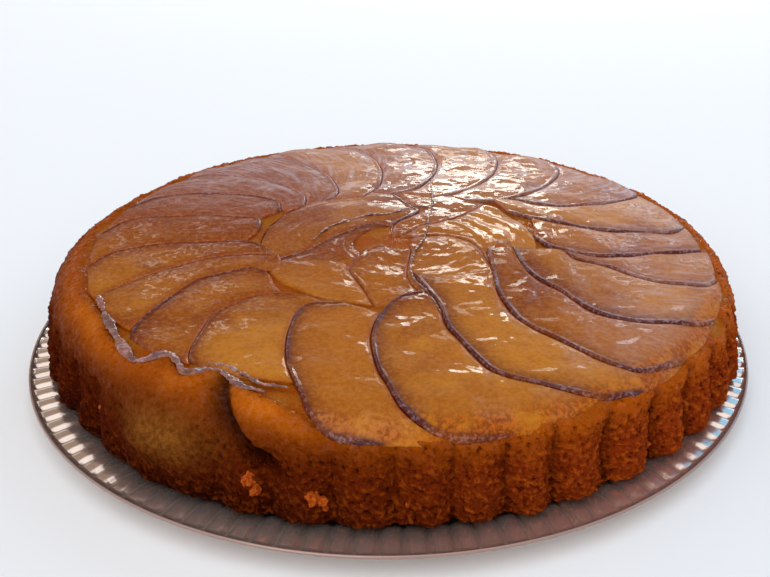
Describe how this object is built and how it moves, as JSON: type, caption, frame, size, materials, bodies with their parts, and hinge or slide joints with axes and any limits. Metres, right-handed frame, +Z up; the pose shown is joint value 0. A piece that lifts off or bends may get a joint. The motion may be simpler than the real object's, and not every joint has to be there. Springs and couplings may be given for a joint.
{
  "type": "tarte tatin",
  "caption": "Round upside-down apple tart: a fluted caramel-soaked sponge topped with a fan of glazed apple slices, resting on its low ribbed foil cake plate.",
  "frame": {"origin": "middle of the plate's flat underside, on the surface it stands on", "axes": "+Z up through the middle of the tart, -Y towards the shown front, +X to the right as seen from the front"},
  "size_m": [0.284, 0.284, 0.0428],
  "materials": {
    "foil": "bright laminated foil on card, pressed into fine ribs round the rim",
    "sponge": "baked sponge, porous and matt with caramel-soaked glossy patches, dark brown to orange",
    "apple": "cooked apple under a thin wet caramel glaze, translucent amber with dark red-brown skin edges"
  },
  "bodies": {
    "root": {"plate": "foil", "cake": "sponge", "slice_outer_01": "apple", "slice_outer_02": "apple", "slice_outer_03": "apple", "slice_outer_04": "apple", "slice_outer_05": "apple", "slice_outer_06": "apple", "slice_outer_07": "apple", "slice_outer_08": "apple", "slice_outer_09": "apple", "slice_outer_10": "apple", "slice_outer_11": "apple", "slice_outer_12": "apple", "slice_outer_13": "apple", "slice_outer_14": "apple", "slice_outer_15": "apple", "slice_outer_16": "apple", "slice_outer_17": "apple", "slice_outer_18": "apple", "slice_outer_19": "apple", "slice_outer_20": "apple", "slice_outer_21": "apple", "slice_inner_01": "apple", "slice_inner_02": "apple", "slice_inner_03": "apple", "slice_inner_04": "apple", "slice_inner_05": "apple", "slice_inner_06": "apple"}
  },
  "joints": []
}
